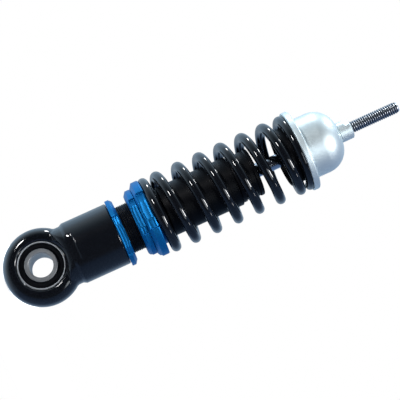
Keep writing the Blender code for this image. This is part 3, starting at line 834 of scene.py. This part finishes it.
def adjuster_ring():
    """The larger ring, with a low spigot that centres the spring."""
    node = "adjuster_ring"
    radius = outer_radius(node)
    bore = ring_bore()
    shape = notch_shape(radius, 2.3 * MM, 1.0 * MM, half_angle=30.0, middle_angle=-95.5)
    bottom, spigot_top = low_z(node), high_z(node)
    seat = spigot_top - 2.6 * MM
    spigot = 24.0 * MM
    chamfer_radius = 29.0 * MM
    chamfer_height = 2.8 * MM
    edge = 0.3 * MM

    def section(outer):
        share = (outer - chamfer_radius) / (radius - chamfer_radius)
        chamfer_top = bottom + chamfer_height * share
        return rounded(
            [
                (spigot, spigot_top, edge),
                (spigot, seat, edge),
                (outer - 0.5 * MM, seat, 0.2 * MM),
                (outer, seat - 0.9 * MM, 0.4 * MM),
                *groove(outer, radius, seat - 2.4 * MM),
                *groove(outer, radius, chamfer_top + 1.4 * MM),
                (outer, chamfer_top, edge),
                (chamfer_radius, bottom, edge),
                (bore, bottom, 0),
                (bore, spigot_top, 0),
            ],
            3,
        )

    build_ring(node, "adjuster", shape, section)


# Threads


def threaded_sleeve(root, crest, bottom, top, pitch, below, above, steps=FINE_STEPS):
    """A turned piece whose outside is a right-handed thread between bottom and top.

    Each row of points climbs with the thread, so crests and roots are clean lines. The thread's height
    fades out at both ends. below and above are (radius, z) pairs that close the piece, low to high.
    """
    phases = [0.0, 0.08, 0.42, 0.58, 0.92]
    shares = [0.0, 0.0, 1.0, 1.0, 0.0]
    fade = 0.9 * pitch
    turns = int((top - bottom) / pitch) + 3
    rows = [(turn - 1 + phase, share) for turn in range(turns) for phase, share in zip(phases, shares)]
    points = []
    for i in range(steps + 1):
        angle = TURN * i / steps
        for position, share in rows:
            z = min(max(bottom + pitch * (position + i / steps), bottom), top)
            height = min(z - bottom, top - z) / fade
            radius = root + (crest - root) * share * min(height, 1)
            points.append((radius * math.cos(angle), radius * math.sin(angle), z))
    faces = faces_between(steps + 1, len(rows), False, wrap=False)
    ends = [[(root, bottom), *reversed(below)], [(root, top), *above]]
    for chain in ends:
        faces += faces_between(steps, len(chain), False, base=len(points))
        for i in range(steps):
            points += column_at(chain, TURN * i / steps)
    return points, faces


def damper_tube():
    node = "damper_tube"
    bottom, top = low_z(node), high_z(node)
    crest = radius_near(node, bottom)
    barrel = half_width(node)
    bore = bore_radius(node)
    thread_top = levels(node)[1]
    run_out = 0.6 * MM
    root = crest - THREAD_DEPTH
    below = [(bore, (bottom + top) / 2), (bore, bottom), (root, bottom)]
    above = rounded(
        [
            (root, thread_top, 0),
            (barrel - 0.5 * MM, thread_top + 0.2 * MM, 0.2 * MM),
            (barrel, thread_top + 0.9 * MM, 0.3 * MM),
            (barrel, top, 0.7 * MM),
            (bore, top, 0.3 * MM),
            (bore, (bottom + top) / 2, 0),
        ]
    )
    points, faces = threaded_sleeve(
        root, crest, bottom, thread_top - run_out, THREAD_PITCH, below, above
    )
    obj = meshed("damper_tube_fine", points, faces)
    finish_piece(obj, "tube", MATERIALS["black_anodised"], "black_anodised", node)


def end_cap():
    node = "end_cap"
    heights = levels(node)
    top = heights[-1]
    bottom = high_z("damper_tube") + 0.3 * MM
    radius = 20.0 * MM
    lip = half_width(node)
    spigot = 17.7 * MM
    pocket = 9.6 * MM
    bore = bore_radius(node)
    spigot_bottom = heights[0]
    groove_low = 176.0 * MM
    groove_high = 177.6 * MM
    groove_r = radius - 1.0 * MM
    lip_bottom = top - 3.1 * MM
    pocket_bottom = top - 8.2 * MM
    profile = rounded(
        [
            (lip, top, 1.2 * MM),
            (lip, lip_bottom, 0.5 * MM),
            (radius, lip_bottom - 0.8 * MM, 0.5 * MM),
            (radius, groove_high, 0.25 * MM),
            (groove_r, groove_high, 0.25 * MM),
            (groove_r, groove_low, 0.25 * MM),
            (radius, groove_low, 0.25 * MM),
            (radius, bottom, 0.3 * MM),
            (spigot, bottom, 0),
            (spigot, spigot_bottom, 0),
            (bore, spigot_bottom, 0),
            (bore, pocket_bottom, 0),
            (pocket, pocket_bottom, 0),
            (pocket, top, 0.4 * MM),
        ]
    )
    obj = turned("end_cap_fine", profile)
    finish_piece(obj, "tube", MATERIALS["black_anodised"], "black_anodised", node)


# The spring


WIRE_R = 4.2 * MM
WIRE_EASE = 0.5 * MM
WIRE_STEPS = 144
WIRE_SIDES = 36
COIL_R = 29.85 * MM
END_PULL_IN = 0.75 * MM
PITCH = 19.3 * MM
COIL_START_Z = 102.25 * MM
FIRST_TURN = -0.2
LAST_TURN = 7.5
TURN_ZERO_ANGLE = math.radians(190)


def centreline_height(turn):
    """The wire's height: the pitch opens over the first turn and closes towards the last one."""
    opens_at, opened_at = -0.25, 0.95
    closes_from, closed_at = 5.42, 7.4
    if turn < opened_at:
        return COIL_START_Z + PITCH * (turn - opens_at) ** 2 / (2 * (opened_at - opens_at))
    height = COIL_START_Z + PITCH * (turn - (opened_at + opens_at) / 2)
    if turn > closes_from:
        closing = closed_at - closes_from
        reached = min(turn, closed_at)
        height -= PITCH * (closing / 4 * ((reached - closes_from) / closing) ** 4 + turn - reached)
    return height


def wire_place(turn):
    step = 0.02
    slope = (centreline_height(turn + step) - centreline_height(turn - step)) / (2 * step)
    radius = COIL_R - END_PULL_IN * (1 - slope / PITCH)
    angle = TURN_ZERO_ANGLE + TURN * turn
    return Vector((radius * math.cos(angle), radius * math.sin(angle), centreline_height(turn)))


def wire_sections():
    """(turn, radius) of every round section of the wire, with the edges of its two ends eased."""
    count = round((LAST_TURN - FIRST_TURN) * WIRE_STEPS)
    sections = [(FIRST_TURN + (LAST_TURN - FIRST_TURN) * i / count, WIRE_R) for i in range(count + 1)]
    for k in (1, 2, 3):
        angle = k * math.pi / 6
        ahead = WIRE_EASE * math.sin(angle) / (TURN * COIL_R)
        radius = WIRE_R - WIRE_EASE * (1 - math.cos(angle))
        sections.append((LAST_TURN + ahead, radius))
        sections.insert(0, (FIRST_TURN - ahead, radius))
    return sections


def section_points(turn, radius):
    """The points of one round section, square to the wire."""
    step = 0.002
    centre = wire_place(turn)
    along = (wire_place(turn + step) - wire_place(turn - step)).normalized()
    outwards = Vector((centre.x, centre.y, 0)).normalized()
    up = along.cross(outwards).normalized()
    if up.z < 0:
        up = -up
    outwards = (outwards - along * outwards.dot(along)).normalized()
    points = []
    for k in range(WIRE_SIDES):
        angle = TURN * k / WIRE_SIDES
        points.append(centre + outwards * radius * math.cos(angle) + up * radius * math.sin(angle))
    return points


def spring():
    """A round wire swept up the coil, its ends ground flat."""
    low, high = low_z("spring"), high_z("spring")
    sections = wire_sections()
    points = []
    for turn, radius in sections:
        points += [(x, y, min(max(z, low), high)) for x, y, z in section_points(turn, radius)]
    faces = faces_between(len(sections), WIRE_SIDES, True, wrap=False)
    faces.append(tuple(range(WIRE_SIDES))[::-1])
    faces.append(tuple(range(len(points) - WIRE_SIDES, len(points))))
    obj = meshed("coil_spring", points, faces)
    finish_piece(obj, "spring_base", MATERIALS["gloss_black"], "gloss_black", "spring")
    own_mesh(obj)


# The rod, its stud, the cup and the neck


STUD_FOOT_Z = levels("piston_rod")[3]


def chrome_rod():
    """The rod up to the stud's foot, with its thinner tail for the piston."""
    node = "piston_rod"
    bottom = low_z(node)
    rod = half_width(node)
    shoulder = levels(node)[1]
    tail = radius_near(node, bottom)
    profile = rounded(
        [
            (0, STUD_FOOT_Z - 0.4 * MM, 0),
            (rod - 0.8 * MM, STUD_FOOT_Z - 0.4 * MM, 0.1 * MM),
            (rod, STUD_FOOT_Z - 1.2 * MM, 0.3 * MM),
            (rod, shoulder, 0.2 * MM),
            (tail, shoulder, 0.1 * MM),
            (tail, bottom + 0.6 * MM, 0.1 * MM),
            (tail - 0.6 * MM, bottom, 0.1 * MM),
            (0, bottom, 0),
        ]
    )
    obj = turned("chrome_rod", profile, FINE_STEPS)
    finish_piece(obj, "rod", MATERIALS["hard_chrome"], "hard_chrome", node)


def threaded_stud():
    root = STUD_ROOT_R
    top = high_z("piston_rod")
    foot = STUD_FOOT_Z - 0.3 * MM
    below = [(0, foot), (root, foot)]
    tip_r = STUD_R - STUD_TIP
    above = [(root, STUD_THREAD_TOP), (tip_r, top - 0.1 * MM), (tip_r - 0.15 * MM, top), (0, top)]
    points, faces = threaded_sleeve(
        root, STUD_R, STUD_FOOT_Z, STUD_THREAD_TOP, STUD_PITCH, below, above, STUD_STEPS
    )
    obj = meshed("threaded_stud", points, faces)
    finish_piece(obj, "rod", MATERIALS["dark_steel"], "hard_chrome")


FLANGE_LOW_Z = 230.0 * MM
CUP_INNER_R = 22.6 * MM


def spring_cup():
    """The flange and the dome, turned from one blank."""
    node = "upper_spring_cup"
    flange = half_width(node)
    dome_top = high_z(node)
    bore = bore_radius(node)
    flange_high = 235.5 * MM
    cup = 26.4 * MM
    shoulder = 248.8 * MM
    dome_flat = 8.0 * MM
    inner_flat = 12.5 * MM
    inner_shoulder = 247.0 * MM
    inner_top = 264.6 * MM
    outer_dome = arc((dome_flat, shoulder), (cup - dome_flat, dome_top - shoulder), 90, 0, 28)
    inner_radii = (CUP_INNER_R - inner_flat, inner_top - inner_shoulder)
    inner_dome = arc((inner_flat, inner_shoulder), inner_radii, 0, 90, 16)
    lower = rounded(
        [
            (cup, shoulder, 0),
            (cup, flange_high, 1.3 * MM),
            (flange, flange_high, 1.5 * MM),
            (flange, FLANGE_LOW_Z, 0.8 * MM),
            (CUP_INNER_R, FLANGE_LOW_Z, 0.3 * MM),
            (CUP_INNER_R, inner_shoulder, 0),
        ],
        5,
    )
    profile = outer_dome + lower[1:-1] + inner_dome + [(bore, inner_top), (bore, dome_top)]
    obj = turned("spring_cup", profile)
    finish_piece(obj, "rod", MATERIALS["satin_aluminium"], "satin_aluminium", node)


def cup_collar_painted_shade():
    """The sleeve under the flange that centres the last coils, made black as painted shade for the shadow
    those coils cast on the cup's collar.
    """
    outer = 24.0 * MM
    bottom = low_z("upper_spring_cup")
    top = FLANGE_LOW_Z - 0.05 * MM
    profile = rounded(
        [
            (outer, top, 0.1 * MM),
            (outer, bottom, 0.6 * MM),
            (CUP_INNER_R, bottom, 0.6 * MM),
            (CUP_INNER_R, top, 0.1 * MM),
        ]
    )
    obj = turned("cup_collar_painted_shade", profile)
    # Painted shade: the black tube finish here stands for the coils' shadow on the cup's collar.
    finish_piece(obj, "rod", MATERIALS["black_anodised"], "black_anodised")


def neck():
    """The clamping collar at the stud's root, milled with two spanner flats."""
    node = "neck_nut"
    bottom, top = low_z(node), high_z(node)
    radius = outer_radius(node)
    bore = bore_radius(node)
    flat = 7.0 * MM
    flat_low = 273.7 * MM
    flat_angle = 40.0
    flat_half = math.degrees(math.acos(flat / radius))
    corner_lift = 1.8 * MM
    chamfer = 0.9 * MM
    edge = 0.6 * MM
    steps = 240

    def section(degrees):
        """The cross-section at an angle. The cutter's round corner lifts the flat's lower edge."""
        away = (degrees - flat_angle) % 180
        away = min(away, 180 - away)
        on_flat = away < flat_half
        face = flat / math.cos(math.radians(away)) if on_flat else radius
        side = away / flat_half if on_flat else 1
        start = flat_low + corner_lift * (1 - math.sqrt(1 - side**4))
        return rounded(
            [
                (bore, top, 0),
                (face - chamfer, top, 0.25 * MM),
                (face, top - chamfer, 0.25 * MM),
                (face, start + 0.02 * MM, 0.05 * MM),
                (radius, start, 0.1 * MM),
                (radius, bottom + edge, 0.2 * MM),
                (radius - edge, bottom, 0.2 * MM),
                (bore, bottom, 0),
            ],
            3,
        )

    around = [360 * i / steps for i in range(steps)]
    obj = ring_of("neck_collar", [math.radians(d) for d in around], [section(d) for d in around])
    finish_piece(obj, "rod", MATERIALS["satin_aluminium"], "satin_aluminium", node)


# The foam stop, the wiper and the CAD pieces that stay


def bump_stop():
    """The waisted foam stop, with rounded lobes."""
    node = "bump_stop"
    bottom, top = low_z(node), high_z(node)
    bore = bore_radius(node)
    lobe = half_width(node)
    waist = lobe - 2.6 * MM
    count = 60
    lobes = 3
    profile = []
    for i in range(count + 1):
        t = i / count
        swell = abs(math.sin(math.pi * lobes * t)) ** 0.6
        profile.append((waist + (lobe - waist) * swell, top + (bottom - top) * t))
    profile += [(bore, bottom), (bore, top)]
    obj = turned("foam_bump_stop", profile, FINE_STEPS)
    finish_piece(obj, "rod", MATERIALS["cream_foam"], "cream_foam", node)
    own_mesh(obj)


def wiper():
    node = "rod_wiper"
    low, high = low_z(node), high_z(node)
    inner = bore_radius(node)
    outer = 9.25 * MM
    profile = rounded(
        [
            (inner, high, 0.15 * MM),
            (inner + 0.9 * MM, high, 0.3 * MM),
            (outer - 0.9 * MM, high - 1.5 * MM, 0.4 * MM),
            (outer, high - 1.7 * MM, 0.3 * MM),
            (outer, low, 0),
            (inner, low, 0),
        ]
    )
    obj = turned("rod_wiper_fine", profile, FINE_STEPS)
    finish_piece(obj, "tube", MATERIALS["black_rubber"], "black_rubber", node)


def dress_cad_nodes():
    """Procedural finishes on the CAD pieces that stay."""
    slots = {part["node"]: part["material_slot"] for part in frame["record"]["subparts"]}
    for name, obj in frame["nodes"].items():
        if obj.hide_render:
            continue
        obj.data.materials.clear()
        obj.data.materials.append(MATERIALS[slots[name]])


# The stage


CAMERA_YAW = math.radians(9.5)
CAMERA_TILT = math.radians(4.0)
CAMERA_ROLL = math.radians(24.4)
CAMERA_DISTANCE = 1.27
CAMERA_TARGET = Vector((0.0029, 0.0, 0.1403))
LENS = 138.6


def stage():
    """A plain pale floor just under the eye, which glows a little so that it meets the white behind."""
    mesh = bpy.data.meshes.new("floor")
    shape = bmesh.new()
    bmesh.ops.create_circle(shape, cap_ends=True, segments=FINE_STEPS, radius=300 * MM)
    shape.to_mesh(mesh)
    shape.free()
    floor = new_object("floor", mesh)
    floor.location.z = low_z("lower_eye_body") - 0.5 * MM
    floor.visible_glossy = False
    made, tree, shader = node_material("pale_floor", (0.9, 0.9, 0.9), 0.9, 0.0)
    vector = object_coordinates(tree, (1, 1, 1))
    tint = colour_mix(tree, noise(tree, vector, 3.0), (0.93, 0.93, 0.93), (0.95, 0.95, 0.95))
    tree.links.new(tint, shader.inputs["Base Color"])
    shader.inputs["Emission Color"].default_value = (1, 1, 1, 1)
    shader.inputs["Emission Strength"].default_value = 0.85
    mesh.materials.append(made)


def surroundings(tree, facing, sides):
    """A colour for each angle from the camera's side, from (degrees, colour) stops at the sides."""
    behind = [(180, (0.30, 0.36, 0.42))]
    in_front = [(43, (0.03, 0.035, 0.045)), (0, (0.02, 0.022, 0.03))]
    ramp = tree.nodes.new("ShaderNodeValToRGB")
    elements = ramp.color_ramp.elements
    elements.remove(elements[1])
    for i, (degrees, colour) in enumerate(behind + sides + in_front):
        place = (1 + math.cos(math.radians(degrees))) / 2
        element = elements[0] if i == 0 else elements.new(place)
        element.position = place
        element.color = (*colour, 1)
    tree.links.new(facing, ramp.inputs["Fac"])
    return ramp.outputs["Color"]


def world():
    """White all round for the camera.

    In reflections the camera's own side is dark, the side above the strut is a broad pale wall, and the
    side below it a dim blue one.
    """
    made = bpy.data.worlds.new("studio")
    bpy.context.scene.world = made
    made.use_nodes = True
    tree = made.node_tree
    background = tree.nodes["Background"]
    coordinates = tree.nodes.new("ShaderNodeTexCoord")
    direction = coordinates.outputs["Generated"]
    towards_camera = (math.sin(CAMERA_YAW), -math.cos(CAMERA_YAW), 0)
    towards_right = (math.cos(CAMERA_YAW), math.sin(CAMERA_YAW), 0)
    facing = ranged(tree, vector_math(tree, "DOT_PRODUCT", direction, towards_camera), 0, 1, -1, 1)
    side = vector_math(tree, "DOT_PRODUCT", direction, towards_right)
    below = ranged(tree, side, 0, 1, -0.35, 0.35)
    pale = surroundings(
        tree,
        facing,
        [
            (150, (0.55, 0.75, 0.95)),
            (118, (0.75, 1.05, 1.35)),
            (95, (0.62, 0.78, 0.92)),
            (76, (0.31, 0.41, 0.49)),
            (59, (0.11, 0.145, 0.18)),
        ],
    )
    dim = surroundings(
        tree,
        facing,
        [
            (150, (0.35, 0.5, 0.7)),
            (118, (0.12, 0.2, 0.36)),
            (76, (0.1, 0.17, 0.32)),
            (59, (0.07, 0.13, 0.26)),
        ],
    )
    reflected = colour_mix(tree, below, pale, dim)
    path = tree.nodes.new("ShaderNodeLightPath")
    seen = colour_mix(tree, path.outputs["Is Camera Ray"], reflected, (1, 1, 1))
    tree.links.new(seen, background.inputs["Color"])
    background.inputs["Strength"].default_value = 1.0


def camera():
    """The strut lies across the frame, its stud up to the right and turned slightly away."""
    forward = Vector(
        (
            -math.sin(CAMERA_YAW) * math.cos(CAMERA_TILT),
            math.cos(CAMERA_YAW) * math.cos(CAMERA_TILT),
            math.sin(CAMERA_TILT),
        )
    )
    along = Vector((0, 0, 1)) - forward * forward.z
    along.normalize()
    across = along.cross(forward)
    right = along * math.cos(CAMERA_ROLL) - across * math.sin(CAMERA_ROLL)
    up = right.cross(forward)
    data = bpy.data.cameras.new("camera")
    data.lens = LENS
    data.sensor_width = 36
    obj = new_object("camera", data)
    place = Matrix((right, up, -forward)).transposed().to_4x4()
    place.translation = CAMERA_TARGET - forward * CAMERA_DISTANCE
    obj.matrix_world = place
    bpy.context.scene.camera = obj


LIGHT_DISTANCE = 1.3
LIGHT_TARGET = Vector((0, 0, 0.14))
SMALL_LIGHT = (0.2, 0.14)


def soft_light(name, turn, height, size, energy, colour=(1, 1, 1)):
    """An area light. turn is its angle about Z from the camera's side, and height its rise."""
    angle = math.radians(turn - 90 + math.degrees(CAMERA_YAW))
    rise = math.radians(height)
    direction = Vector(
        (math.cos(angle) * math.cos(rise), math.sin(angle) * math.cos(rise), math.sin(rise))
    )
    data = bpy.data.lights.new(name, "AREA")
    data.shape = "RECTANGLE"
    data.size, data.size_y = size
    data.energy = energy
    data.color = colour
    obj = new_object(name, data)
    obj.location = LIGHT_TARGET + direction * LIGHT_DISTANCE
    obj.rotation_euler = direction.to_track_quat("Z", "Y").to_euler()


def lights():
    """Small, strong lights: sharp streaks on the gloss, a soft bloom on the satin metal."""
    soft_light("front_left", -42, -16, (0.3, 0.14), 7)
    soft_light("left_high", -110, 62, SMALL_LIGHT, 3.8)
    soft_light("left", -106, 20, SMALL_LIGHT, 3.8)
    soft_light("front_right_high", 25, 49, (0.42, 0.26), 10.5)
    soft_light("right", 64, 35, SMALL_LIGHT, 0.7)
    soft_light("front_right", 24, 22, (0.75, 0.45), 3.6, (0.84, 0.92, 1))


def main():
    eye_casting()
    bush_shell()
    bush_rubber()
    bush_core()
    jam_ring()
    lock_ring()
    adjuster_ring()
    damper_tube()
    end_cap()
    wiper()
    spring()
    chrome_rod()
    threaded_stud()
    spring_cup()
    cup_collar_painted_shade()
    neck()
    bump_stop()
    dress_cad_nodes()
    stage()
    world()
    camera()
    lights()
    bpy.context.scene.view_settings.view_transform = "Standard"


main()
